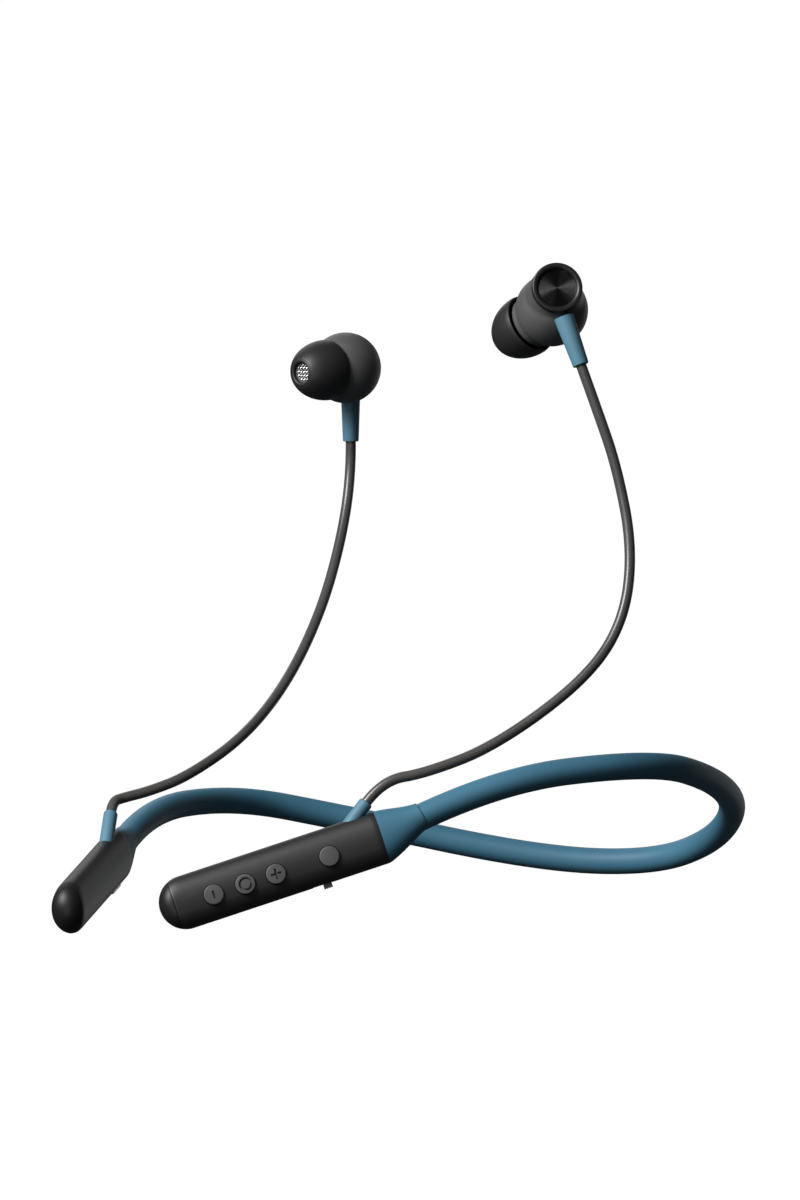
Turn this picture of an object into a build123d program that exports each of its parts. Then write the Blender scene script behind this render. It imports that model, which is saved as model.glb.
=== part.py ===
"""Neckband earphones: a sprung silicone neckband, two pods and two corded in-ear buds.

Millimetres, +Z up. +Y is the back of the wearer's neck and +X the wearer's left. The origin is
2 mm behind the middle of the neckband's centreline at the back. The buds stand where they are when worn.
"""
import os
from math import cos, hypot, radians, sin, tan

from build123d import *

os.makedirs("parts", exist_ok=True)

# Neckband: the control points of each half, from the back to the pod
SLEEVE_DIA = 5.3
SLEEVE_BORE = 3.2
CORE_DIA = 1.2
CORE_OFFSET = 0.72
LEFT_BAND = [(6.9, -1.1, 1.05), (31.1, -16.2, 5.8), (54.1, -42.3, 8.5),
             (65.5, -68.3, 10), (53.5, -101.8, 5), (41.3, -117.8, -6)]
RIGHT_BAND = [(-10.2, -2.6, -2.6), (-30.3, -16.1, -1.25), (-58.6, -45.0, 7.5),
              (-65.5, -68.3, 11), (-53.5, -101.8, 5.6), (-41.3, -117.8, -4.9)]
RUN_SHARE = 0.45

# Pods: a slot-shaped case on each end of the band
POD_HEIGHT = 10.6
POD_WIDTH = 6.6
POD_LENGTH = 42.6
TAPER_START = 40.3
TAPER_HEIGHT = 9.55
POD_WALL = 1.0
PARTING = 1.2
CAP_LENGTH = 3.0
CAP_ROUND = 2.6
SPIGOT = 1.6
POD_AIM = (0.58, 0.75, 0.318)
COLLAR_LENGTH = 9.0
COLLAR_END_DIA = 6.1
SOCKET_DEPTH = 4.0
SOCKET_CLEARANCE = 0.06

# Buttons on the left pod, measured along the pod from the collar
BUTTON_DIA = 4.2
BUTTON_PROUD = 0.45
BUTTON_TRAVEL = 0.4
BUTTON_DROP = -0.5
BUTTON_GAP = 0.17
BUTTON_PLACES = {"volume_down_button": 34.8, "multifunction_button": 28.3,
                 "volume_up_button": 22.0, "mode_button": 11.0}
SYMBOL_LENGTH = 2.1
SYMBOL_WIDTH = 0.32
SYMBOL_DEPTH = 0.15

# Power switch under the left pod
KNOB_LENGTH = 1.7
KNOB_WIDTH = 1.1
KNOB_PROUD = 0.9
KNOB_TRAVEL = 2.0
KNOB_PLACE = 12.9
KNOB_GAP = 0.15
FLANGE_GAP = 0.35
FLANGE_WIDTH = 0.45
FLANGE_THICKNESS = 0.4

# What the pods hold, measured along the pod from the collar
BOARD_START = 9.2
BOARD_END = 40.0
BOARD_LOW = -1.7
BOARD_HIGH = 3.7
BOARD_THICKNESS = 0.8
SWITCH_SIZE = 2.8
SWITCH_HEIGHT = 1.05
SCREW_PLACES = (17.0, 32.5)
SCREW_RISE = 2.7
SCREW_R = 0.5
SCREW_HEAD_R = 0.85
MICROPHONE_PLACE = 37.5
SOUND_HOLE_R = 0.4
PORT_PLACE = 7.2
PORT_WIDTH = 8.94
PORT_THICKNESS = 3.26
PORT_DEPTH = 6.5
PORT_WALL = 0.3
PORT_GAP = 0.12
PORT_INSET = 0.2
BATTERY_START = 13.5
BATTERY_LENGTH = 25.0
BATTERY_HEIGHT = 7.6
BATTERY_THICKNESS = 3.2

# Ear cables: the control points of each, from its pod to its bud
CABLE_DIA = 2.1
RIGHT_CABLE = [(-38.2, -121.6, 3.3), (-39.0, -120.5, 5.7), (-39.0, -117.8, 6.6),
               (-36.9, -112.9, 8.0), (-34.3, -104.9, 11.3), (-33.5, -91, 19.9),
               (-38.1, -76, 32.0), (-43.5, -62.7, 47.5), (-46.9, -54.6, 62.8),
               (-49.0, -50.3, 76.2), (-48.1, -51.1, 83.2)]
LEFT_CABLE = [(39.5, -120.1, 0.9), (41.5, -117.5, 5.2), (46.6, -111.0, 6.6),
              (54.3, -99.7, 12.0), (64.0, -85, 25.0), (66.8, -77.2, 36.7), (66.2, -74.3, 51.5),
              (62.9, -75.6, 68.0), (60.8, -79, 79.4), (58.5, -81, 87.9)]
RELIEF_DIA = 2.8
RELIEF_LENGTH = 7.6

# Earbuds: ball-shaped housings with an angled nozzle
BALL_R = 7.2
SHELL_WALL = 0.9
NECK_R = 6.9
RING_R = 5.0
RING_WIDTH = 1.6
DISC_R = 3.9
DISC_SINK = 0.7
NOZZLE_R = 2.3
NOZZLE_BORE = 1.7
NOZZLE_END = 12.2
NOSE_R = 5.5
NOSE_END = 6.2
TIP_R = 6.1
TIP_RIM = 6.7
TIP_END = 13.6
TIP_BORE = 2.36
TIP_MOUTH = 2.15
BUD_RELIEF_ROOT_R = 1.95
BUD_RELIEF_END_R = 1.55
BUD_RELIEF_LENGTH = 10.2
BUDS = {
    "right": {"ball": (-42.8, -56.9, 97.4), "nozzle": (0.086, -0.984, -0.155),
              "cap_axis": (-0.691, 0.721, 0.059), "cap": (-5.85, 6.78, 2.06)},
    "left": {"ball": (49.5, -80.9, 99.6), "nozzle": (-0.920, -0.116, -0.371),
             "cap_axis": (0.829, -0.538, 0.152), "cap": (7.11, -4.55, 3.65)},
}


def corner_radii(points):
    """The largest comfortable arc at each corner of a route."""
    runs = [Vector(*b) - Vector(*a) for a, b in zip(points, points[1:])]
    return [RUN_SHARE * min(a.length, b.length) / tan(radians(a.get_angle(b)) / 2)
            for a, b in zip(runs, runs[1:])]


def shifted(points, lift):
    return [(x, y, z + lift) for x, y, z in points]


def write(part, name):
    part.label = name
    export_step(part, f"parts/{name}.step")


def trimmed(points, cut):
    """The route with its last run shortened by a length."""
    last, before = Vector(*points[-1]), Vector(*points[-2])
    end = last + (before - last).normalized() * cut
    return points[:-1] + [tuple(end)]


# The band's three layers: a silicone tube, and in it a sprung wire and the lead between pods
band_cut = COLLAR_LENGTH - SOCKET_DEPTH
band_route = trimmed(RIGHT_BAND, band_cut)[::-1] + trimmed(LEFT_BAND, band_cut)
core_route = trimmed(RIGHT_BAND, band_cut + 1)[::-1] + trimmed(LEFT_BAND, band_cut + 1)
band_radii = corner_radii(band_route)
core_radii = corner_radii(core_route)
print("band radii", [round(r, 1) for r in band_radii])

with BuildPart() as sleeve:
    with BuildLine() as sleeve_path:
        FilletPolyline(*band_route, radius=band_radii)
    with BuildSketch(Plane(origin=sleeve_path.line @ 0, z_dir=sleeve_path.line % 0)):
        Circle(SLEEVE_DIA / 2)
        Circle(SLEEVE_BORE / 2, mode=Mode.SUBTRACT)
    sweep(path=sleeve_path.line)
write(sleeve.part, "neckband_sleeve")

for name, lift in (("memory_wire", CORE_OFFSET), ("neckband_lead", -CORE_OFFSET)):
    with BuildPart() as core:
        with BuildLine() as core_path:
            FilletPolyline(*shifted(core_route, lift), radius=core_radii)
        with BuildSketch(Plane(origin=core_path.line @ 0, z_dir=core_path.line % 0)):
            Circle(CORE_DIA / 2)
        sweep(path=core_path.line)
    write(core.part, name)

# Ear cables: plain tubes between the reliefs
for side, route in (("right", RIGHT_CABLE), ("left", LEFT_CABLE)):
    cable_radii = corner_radii(route)
    print(side, "cable radii", [round(r, 1) for r in cable_radii])
    with BuildPart() as cable:
        with BuildLine() as cable_path:
            FilletPolyline(*route, radius=cable_radii)
        with BuildSketch(Plane(origin=cable_path.line @ 0, z_dir=cable_path.line % 0)):
            Circle(CABLE_DIA / 2)
        sweep(path=cable_path.line)
    cable_length = sum(edge.length for edge in cable_path.edges())
    print(side, "cable", round(cable_length, 1), "long, volume", round(cable.part.volume, 1))
    write(cable.part, f"{side}_ear_cable")

# Pods and collars. In a pod's plane x points to the wearer's left, y up and z along the pod.
for side, mirror_x, band, cable_route in (("left", 1, LEFT_BAND, LEFT_CABLE),
                                          ("right", -1, RIGHT_BAND, RIGHT_CABLE)):
    along = Vector(-mirror_x * POD_AIM[0], -POD_AIM[1], -POD_AIM[2]).normalized()
    pod_up = (Vector(0, 0, 1) - along * along.Z).normalized()
    pod = Plane(origin=band[-1], x_dir=pod_up.cross(along), z_dir=along)
    parting = Plane(origin=pod.origin, z_dir=pod.x_dir * mirror_x).offset(-PARTING)
    outside = Plane(origin=pod.origin, x_dir=pod.z_dir, z_dir=pod.x_dir)
    under = Plane(origin=pod.origin, x_dir=pod.z_dir, z_dir=pod.y_dir * -1)
    relief_start = Vector(*cable_route[0])
    relief_aim = (Vector(*cable_route[1]) - relief_start).normalized()
    relief_plane = Plane(origin=relief_start, z_dir=relief_aim * -1)

    with BuildPart() as relief:
        with BuildSketch(relief_plane):
            Circle(RELIEF_DIA / 2)
        extrude(amount=RELIEF_LENGTH)
        chamfer(relief.faces().sort_by(Axis((0, 0, 0), tuple(relief_aim)))[-1].edges(), 0.2)
    write(relief.part, f"{side}_cable_relief")

    with BuildPart() as case:
        with BuildSketch(pod):
            SlotOverall(POD_HEIGHT, POD_WIDTH, rotation=90)
        extrude(amount=TAPER_START)
        with BuildSketch(pod.offset(TAPER_START)):
            SlotOverall(POD_HEIGHT, POD_WIDTH, rotation=90)
        with BuildSketch(pod.offset(POD_LENGTH)):
            SlotOverall(TAPER_HEIGHT, POD_WIDTH, rotation=90)
        loft()
        with BuildSketch(pod.offset(POD_WALL)):
            SlotOverall(POD_HEIGHT - 2 * POD_WALL, POD_WIDTH - 2 * POD_WALL, rotation=90)
        extrude(amount=POD_LENGTH, mode=Mode.SUBTRACT)
        with BuildSketch(relief_plane):
            Circle(RELIEF_DIA / 2)
        extrude(amount=RELIEF_LENGTH, mode=Mode.SUBTRACT)
        if side == "right":
            with BuildSketch(under.offset(POD_HEIGHT / 2 - 2 * POD_WALL)):
                with Locations((PORT_PLACE, 0)):
                    SlotOverall(PORT_WIDTH + 2 * PORT_GAP, PORT_THICKNESS + 2 * PORT_GAP)
            extrude(amount=3 * POD_WALL, mode=Mode.SUBTRACT)

    with BuildPart() as pod_shell:
        add(case.part)
        split(bisect_by=parting, keep=Keep.TOP)
        if side == "left":
            for place in BUTTON_PLACES.values():
                with BuildSketch(outside.offset(POD_WIDTH / 2 - POD_WALL - 0.5)):
                    with Locations((place, -BUTTON_DROP)):
                        Circle(BUTTON_DIA / 2 + BUTTON_GAP)
                extrude(amount=POD_WALL + 1, mode=Mode.SUBTRACT)
            with BuildSketch(under.offset(POD_HEIGHT / 2 - POD_WALL - 0.5)):
                with Locations((KNOB_PLACE + KNOB_TRAVEL / 2, 0)):
                    Rectangle(KNOB_LENGTH + KNOB_TRAVEL + 2 * KNOB_GAP, KNOB_WIDTH + 2 * KNOB_GAP)
            extrude(amount=POD_WALL + 1, mode=Mode.SUBTRACT)
            with BuildSketch(under.offset(POD_HEIGHT / 2 - POD_WALL - 0.5)):
                with Locations((MICROPHONE_PLACE, 0)):
                    Circle(SOUND_HOLE_R)
            extrude(amount=POD_WALL + 1, mode=Mode.SUBTRACT)
    write(pod_shell.part, f"{side}_pod_shell")

    with BuildPart() as pod_cover:
        add(case.part)
        split(bisect_by=parting, keep=Keep.BOTTOM)
    write(pod_cover.part, f"{side}_pod_cover")

    with BuildPart() as end_cap:
        with BuildSketch(pod.offset(POD_LENGTH)):
            SlotOverall(TAPER_HEIGHT, POD_WIDTH, rotation=90)
        extrude(amount=CAP_LENGTH)
        fillet(end_cap.faces().sort_by(Axis((0, 0, 0), tuple(along)))[-1].edges(), CAP_ROUND)
        with BuildSketch(pod.offset(POD_LENGTH)):
            SlotOverall(POD_HEIGHT - 2 * POD_WALL, POD_WIDTH - 2 * POD_WALL, rotation=90)
        extrude(amount=-SPIGOT)
    write(end_cap.part, f"{side}_pod_end_cap")

    band_aim = (Vector(*band[-2]) - Vector(*band[-1])).normalized()
    collar_end = Plane(origin=Vector(*band[-1]) + band_aim * COLLAR_LENGTH, z_dir=band_aim)
    with BuildPart() as collar:
        with BuildSketch(pod):
            SlotOverall(POD_HEIGHT, POD_WIDTH, rotation=90)
        with BuildSketch(collar_end):
            Circle(COLLAR_END_DIA / 2)
        loft()
        with BuildSketch(collar_end.offset(0.5)):
            Circle(SLEEVE_DIA / 2 + SOCKET_CLEARANCE)
        extrude(amount=-SOCKET_DEPTH - 0.5 - SOCKET_CLEARANCE, mode=Mode.SUBTRACT)
    write(collar.part, f"{side}_collar")

    if side == "left":
        for name, place in BUTTON_PLACES.items():
            top = outside.offset(POD_WIDTH / 2 + BUTTON_PROUD)
            with BuildPart() as button:
                with BuildSketch(top):
                    with Locations((place, -BUTTON_DROP)):
                        Circle(BUTTON_DIA / 2)
                extrude(amount=-BUTTON_PROUD - POD_WALL - BUTTON_TRAVEL)
                rim = button.faces().sort_by(Axis((0, 0, 0), tuple(pod.x_dir)))[-1].edges()
                fillet(rim, 0.35)
                flange_top = outside.offset(POD_WIDTH / 2 - POD_WALL - FLANGE_GAP)
                with BuildSketch(flange_top):
                    with Locations((place, -BUTTON_DROP)):
                        Circle(BUTTON_DIA / 2 + FLANGE_WIDTH)
                extrude(amount=-FLANGE_THICKNESS)
                if name != "mode_button":
                    with BuildSketch(top.offset(-SYMBOL_DEPTH)):
                        with Locations((place, -BUTTON_DROP)):
                            if name == "multifunction_button":
                                Circle(SYMBOL_LENGTH / 2)
                                Circle(SYMBOL_LENGTH / 2 - SYMBOL_WIDTH, mode=Mode.SUBTRACT)
                            else:
                                Rectangle(SYMBOL_WIDTH, SYMBOL_LENGTH)
                            if name == "volume_up_button":
                                Rectangle(SYMBOL_LENGTH, SYMBOL_WIDTH)
                    extrude(amount=SYMBOL_DEPTH, mode=Mode.SUBTRACT)
            write(button.part, name)

        with BuildPart() as knob:
            with BuildSketch(under.offset(POD_HEIGHT / 2 + KNOB_PROUD)):
                with Locations((KNOB_PLACE, 0)):
                    RectangleRounded(KNOB_LENGTH, KNOB_WIDTH, 0.3)
            extrude(amount=-KNOB_PROUD - POD_WALL - 0.3)
        write(knob.part, "power_switch_knob")

        with BuildPart() as power_switch:
            with BuildSketch(under.offset(-BOARD_LOW + 0.1)):
                with Locations((KNOB_PLACE + KNOB_TRAVEL / 2, 0)):
                    Rectangle(KNOB_LENGTH + KNOB_TRAVEL + 2, KNOB_WIDTH + 1)
            extrude(amount=POD_HEIGHT / 2 - POD_WALL - 0.4 + BOARD_LOW - 0.1)
        write(power_switch.part, "power_switch")

        with BuildPart() as main_board:
            with BuildSketch(outside):
                with Locations(((BOARD_START + BOARD_END) / 2, -(BOARD_LOW + BOARD_HIGH) / 2)):
                    Rectangle(BOARD_END - BOARD_START, BOARD_HIGH - BOARD_LOW)
                with Locations(*[(place, -SCREW_RISE) for place in SCREW_PLACES]):
                    Circle(SCREW_R + 0.02, mode=Mode.SUBTRACT)
            extrude(amount=-BOARD_THICKNESS)
        write(main_board.part, "main_board")

        with BuildPart() as button_switches:
            with BuildSketch(outside):
                with Locations(*[(place, -BUTTON_DROP) for place in BUTTON_PLACES.values()]):
                    Rectangle(SWITCH_SIZE, SWITCH_SIZE - 0.6)
            extrude(amount=SWITCH_HEIGHT - 0.25)
            with BuildSketch(outside.offset(SWITCH_HEIGHT - 0.25)):
                with Locations(*[(place, -BUTTON_DROP) for place in BUTTON_PLACES.values()]):
                    Circle(0.7)
            extrude(amount=0.25)
        write(button_switches.part, "button_switches")

        with BuildPart() as radio_module:
            with BuildSketch(outside.offset(-BOARD_THICKNESS)):
                with Locations((24, -1.0)):
                    Rectangle(7, 4.6)
            extrude(amount=-0.9)
        write(radio_module.part, "radio_module")

        with BuildPart() as microphone:
            with BuildSketch(under.offset(-BOARD_LOW + 0.1)):
                with Locations((MICROPHONE_PLACE, 0)):
                    Rectangle(2.8, 1.9)
            extrude(amount=POD_HEIGHT / 2 - POD_WALL + BOARD_LOW - 0.4)
        write(microphone.part, "microphone")

        with BuildPart() as board_screws:
            with BuildSketch(outside.offset(0.35)):
                with Locations(*[(place, -SCREW_RISE) for place in SCREW_PLACES]):
                    Circle(SCREW_HEAD_R)
            extrude(amount=-0.35)
            with BuildSketch(outside):
                with Locations(*[(place, -SCREW_RISE) for place in SCREW_PLACES]):
                    Circle(SCREW_R)
            extrude(amount=-BOARD_THICKNESS - 0.4)
        write(board_screws.part, "board_screws")
    else:
        with BuildPart() as port:
            with BuildSketch(under.offset(POD_HEIGHT / 2 - PORT_INSET)):
                with Locations((PORT_PLACE, 0)):
                    SlotOverall(PORT_WIDTH, PORT_THICKNESS)
            extrude(amount=-PORT_DEPTH)
            with BuildSketch(under.offset(POD_HEIGHT / 2 - PORT_INSET)):
                with Locations((PORT_PLACE, 0)):
                    SlotOverall(PORT_WIDTH - 2 * PORT_WALL, PORT_THICKNESS - 2 * PORT_WALL)
            extrude(amount=-PORT_DEPTH + PORT_WALL, mode=Mode.SUBTRACT)
            with BuildSketch(under.offset(POD_HEIGHT / 2 - PORT_INSET - 1)):
                with Locations((PORT_PLACE, 0)):
                    Rectangle(6.7, 0.7)
            extrude(amount=-PORT_DEPTH + 1)
        write(port.part, "charging_port")

        with BuildPart() as charging_board:
            with BuildSketch(under.offset(POD_HEIGHT / 2 - PORT_INSET - PORT_DEPTH)):
                with Locations((PORT_PLACE, 0)):
                    Rectangle(9.4, 3.4)
            extrude(amount=-0.8)
        write(charging_board.part, "charging_board")

        with BuildPart() as battery:
            with BuildSketch(pod.offset(BATTERY_START)):
                RectangleRounded(BATTERY_THICKNESS, BATTERY_HEIGHT, 0.8)
            extrude(amount=BATTERY_LENGTH)
        write(battery.part, "battery_cell")

        with BuildPart() as pad:
            with BuildSketch(pod.offset(BATTERY_START + BATTERY_LENGTH)):
                RectangleRounded(BATTERY_THICKNESS, BATTERY_HEIGHT - 1, 0.5)
            extrude(amount=POD_LENGTH - SPIGOT - BATTERY_START - BATTERY_LENGTH)
        write(pad.part, "battery_pad")

# Earbuds: two shells, a capped rear, the driver between them and a nozzle that holds the tip
for side, bud in BUDS.items():
    nose = Plane(origin=bud["ball"], z_dir=bud["nozzle"])
    cap_centre = Vector(*bud["ball"]) + Vector(*bud["cap"])
    cap_face = Plane(origin=cap_centre, z_dir=bud["cap_axis"])
    neck_base = Plane(origin=bud["ball"], z_dir=bud["cap_axis"])
    ring_base = cap_face.offset(-RING_WIDTH)
    cable_end = Vector(*(RIGHT_CABLE if side == "right" else LEFT_CABLE)[-1])
    cable_aim = cable_end - Vector(*(RIGHT_CABLE if side == "right" else LEFT_CABLE)[-2])
    relief_end = Plane(origin=cable_end, z_dir=cable_aim.normalized())
    profile = Plane(origin=bud["ball"], x_dir=nose.x_dir, z_dir=nose.y_dir * -1)

    with BuildPart() as bud_relief:
        with BuildSketch(relief_end):
            Circle(BUD_RELIEF_END_R)
        with BuildSketch(relief_end.offset(BUD_RELIEF_LENGTH)):
            Circle(BUD_RELIEF_ROOT_R)
        loft()
    write(bud_relief.part, f"{side}_bud_relief")

    with BuildPart() as rear_housing:
        add(Solid.make_sphere(BALL_R, plane=nose))
        with BuildSketch(neck_base):
            Circle(NECK_R)
        with BuildSketch(ring_base):
            Circle(RING_R)
        loft()
        split(bisect_by=nose, keep=Keep.BOTTOM)
        add(Solid.make_sphere(BALL_R - SHELL_WALL, plane=nose), mode=Mode.SUBTRACT)
        with BuildSketch(neck_base.offset(BALL_R / 2)):
            Circle(RING_R - SHELL_WALL - 0.3)
        with BuildSketch(ring_base.offset(0.1)):
            Circle(RING_R - SHELL_WALL - 0.3)
        loft(mode=Mode.SUBTRACT)
        add(bud_relief.part, mode=Mode.SUBTRACT)
    write(rear_housing.part, f"{side}_rear_housing")

    with BuildPart() as front_housing:
        with BuildSketch(profile):
            with BuildLine():
                CenterArc((0, 0), BALL_R, 0, 90)
                CenterArc((0, 0), BALL_R - SHELL_WALL, 0, 90)
                Line((BALL_R - SHELL_WALL, 0), (BALL_R, 0))
                Line((0, BALL_R - SHELL_WALL), (0, BALL_R))
            make_face()
            with Locations((NOSE_R / 2, NOSE_END - 0.9)):
                Rectangle(NOSE_R, 1.8)
            Circle(BALL_R - SHELL_WALL, mode=Mode.SUBTRACT)
            with Locations((NOZZLE_R / 2, (NOZZLE_END + BALL_R - 1) / 2)):
                Rectangle(NOZZLE_R, NOZZLE_END - BALL_R + 1)
            with Locations((NOZZLE_BORE / 2, NOZZLE_END / 2)):
                Rectangle(NOZZLE_BORE, NOZZLE_END + 0.2, mode=Mode.SUBTRACT)
        revolve(axis=Axis(tuple(nose.origin), tuple(nose.z_dir)))
    write(front_housing.part, f"{side}_front_housing")

    with BuildPart() as mesh:
        with BuildSketch(nose.offset(NOZZLE_END)):
            Circle(NOZZLE_R - 0.15)
        extrude(amount=0.15)
    write(mesh.part, f"{side}_nozzle_mesh")

    with BuildPart() as ring:
        with BuildSketch(ring_base):
            Circle(RING_R)
        extrude(amount=RING_WIDTH)
        fillet(ring.faces().sort_by(Axis((0, 0, 0), bud["cap_axis"]))[-1].edges(), 0.25)
        with BuildSketch(ring_base):
            Circle(DISC_R)
        extrude(amount=RING_WIDTH, mode=Mode.SUBTRACT)
    write(ring.part, f"{side}_cap_ring")

    with BuildPart() as disc:
        with BuildSketch(cap_face.offset(-DISC_SINK)):
            Circle(DISC_R)
        extrude(amount=-RING_WIDTH + DISC_SINK)
    write(disc.part, f"{side}_cap_disc")

    with BuildPart() as magnet:
        with BuildSketch(ring_base):
            Circle(2.6)
        extrude(amount=-1.2)
    write(magnet.part, f"{side}_snap_magnet")

    with BuildPart() as driver_frame:
        with BuildSketch(nose.offset(-1.2)):
            Circle(5.6)
            Circle(4.7, mode=Mode.SUBTRACT)
        extrude(amount=2.4)
    write(driver_frame.part, f"{side}_driver_frame")

    with BuildPart() as driver_magnet:
        with BuildSketch(nose.offset(-2.2)):
            Circle(3.2)
        extrude(amount=2.0)
    write(driver_magnet.part, f"{side}_driver_magnet")

    with BuildPart() as diaphragm:
        with BuildSketch(profile):
            with BuildLine():
                Polyline((0, 1.1), (2.2, 0.6), (4.65, 0.8), (4.65, 0.65), (2.2, 0.45), (0, 0.95), (0, 1.1))
            make_face()
        revolve(axis=Axis(tuple(nose.origin), tuple(nose.z_dir)))
    write(diaphragm.part, f"{side}_diaphragm")

    with BuildPart() as tip:
        with BuildSketch(profile):
            with BuildLine():
                outer = Spline((TIP_R, TIP_RIM), (TIP_R - 0.15, TIP_RIM + 2.3), (4.6, TIP_RIM + 5.2),
                               (3.1, TIP_END), tangents=[(0.05, 1), (-1, 0.5)])
                Line((3.1, TIP_END), (TIP_MOUTH, TIP_END))
                Line((TIP_MOUTH, TIP_END), (TIP_MOUTH, NOZZLE_END + 0.4))
                Line((TIP_MOUTH, NOZZLE_END + 0.4), (TIP_BORE, NOZZLE_END + 0.4))
                Line((TIP_BORE, NOZZLE_END + 0.4), (TIP_BORE, BALL_R + 0.35))
                Line((TIP_BORE, BALL_R + 0.35), (3.1, BALL_R + 0.35))
                Line((3.1, BALL_R + 0.35), (3.1, TIP_RIM + 4.6))
                inner = Spline((3.1, TIP_RIM + 4.6), (4.6, TIP_RIM + 3.4), (TIP_R - 0.6, TIP_RIM),
                               tangents=[(1, -0.2), (0.05, -1)])
                Line((TIP_R - 0.6, TIP_RIM), (TIP_R, TIP_RIM))
            make_face()
        revolve(axis=Axis(tuple(nose.origin), tuple(nose.z_dir)))
    write(tip.part, f"{side}_ear_tip")
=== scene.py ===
"""Neckband earphones: a silicone neckband, two moulded pods and two corded in-ear buds.

Sizes are given in millimetres and turned to metres as each piece is placed in the frame.
"""

import math

import bpy
from mathutils import Matrix, Vector


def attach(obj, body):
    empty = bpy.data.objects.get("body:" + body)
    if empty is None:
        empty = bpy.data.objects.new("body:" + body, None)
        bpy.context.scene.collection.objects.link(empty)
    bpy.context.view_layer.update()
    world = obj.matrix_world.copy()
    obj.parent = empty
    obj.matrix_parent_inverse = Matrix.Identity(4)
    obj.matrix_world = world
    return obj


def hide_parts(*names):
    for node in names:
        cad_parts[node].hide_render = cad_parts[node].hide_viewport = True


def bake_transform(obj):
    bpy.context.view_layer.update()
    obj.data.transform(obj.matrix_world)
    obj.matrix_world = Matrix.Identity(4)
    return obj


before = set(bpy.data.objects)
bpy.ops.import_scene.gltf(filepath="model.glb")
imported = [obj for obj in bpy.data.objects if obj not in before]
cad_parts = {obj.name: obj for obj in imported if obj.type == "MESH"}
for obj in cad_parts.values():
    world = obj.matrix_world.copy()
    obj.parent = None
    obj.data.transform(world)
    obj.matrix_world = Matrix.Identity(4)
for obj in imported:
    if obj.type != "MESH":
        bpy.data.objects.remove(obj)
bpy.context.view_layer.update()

# Studio: a long lens that looks up a little, a strong soft light high on the left, four weak ones for
# the discs, the front and the far edges, and a pale floor below. What lies behind the object is plain
# white, while its surfaces get only a dim sky.
MM = 0.001
VIEW_TURN = math.radians(50)
VIEW_LIFT = math.radians(-5.25)
VIEW_DISTANCE = 3.0
VIEW_MIDDLE = (0, -60, 0)
VIEW_ACROSS = -14.1
VIEW_RISE = 46.7
LENS = 450
SENSOR_WIDTH = 36
SKY_STRENGTH = 0.045
WHITE_STRENGTH = 1.02
FLOOR_SIZE = 6
FLOOR_PLACE = (0, -0.06, -0.4)


def add_object(name, data):
    """A new object in the scene."""
    made = bpy.data.objects.new(name, data)
    bpy.context.scene.collection.objects.link(made)
    return made


right = Vector((math.cos(VIEW_TURN), math.sin(VIEW_TURN), 0))
up = Vector((-math.sin(VIEW_TURN) * math.sin(VIEW_LIFT), math.cos(VIEW_TURN) * math.sin(VIEW_LIFT),
             math.cos(VIEW_LIFT)))
towards = right.cross(up)
aim = Vector(VIEW_MIDDLE) * MM + right * VIEW_ACROSS * MM + up * VIEW_RISE * MM
camera_data = bpy.data.cameras.new("camera")
camera_data.lens = LENS
camera_data.sensor_width = SENSOR_WIDTH
camera_data.clip_start = 0.1
camera_data.clip_end = 20
camera = add_object("camera", camera_data)
camera.matrix_world = Matrix.Translation(aim + towards * VIEW_DISTANCE) @ Matrix(
    (right, up, towards)).transposed().to_4x4()
bpy.context.scene.camera = camera
bpy.context.scene.view_settings.view_transform = "Standard"

for name, across, over, front, size, power in (
        ("key_light", -1.1, 0.95, 0.95, 0.8, 46),
        ("disc_light", -0.65, 0.62, 1.6, 0.4, 2.4),
        ("front_light", -0.4, -0.6, 1.8, 1.0, 4.5),
        ("back_light", 0.9, 0.1, -1.5, 1.2, 2.1),
        ("rear_light", -0.3, 0.9, -1.4, 1.0, 3.5)):
    light = bpy.data.lights.new(name, "AREA")
    light.shape = "SQUARE"
    light.size = size
    light.energy = power
    lamp = add_object(name, light)
    spot = aim + right * across + up * over + towards * front
    lamp.matrix_world = Matrix.Translation(spot) @ (spot - aim).to_track_quat("Z", "Y").to_matrix().to_4x4()

air = bpy.data.worlds.new("studio_air")
bpy.context.scene.world = air
air.use_nodes = True
air_nodes = air.node_tree.nodes
air_links = air.node_tree.links
seen = air_nodes.new("ShaderNodeLightPath")
dim = air_nodes.new("ShaderNodeBackground")
dim.inputs["Color"].default_value = (0.93, 0.97, 1.0, 1)
dim.inputs["Strength"].default_value = SKY_STRENGTH
white = air_nodes.new("ShaderNodeBackground")
white.inputs["Color"].default_value = (1, 1, 1, 1)
white.inputs["Strength"].default_value = WHITE_STRENGTH
either = air_nodes.new("ShaderNodeMixShader")
air_links.new(seen.outputs["Is Camera Ray"], either.inputs[0])
air_links.new(dim.outputs[0], either.inputs[1])
air_links.new(white.outputs[0], either.inputs[2])
air_links.new(either.outputs[0], air_nodes["World Output"].inputs[0])


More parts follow.
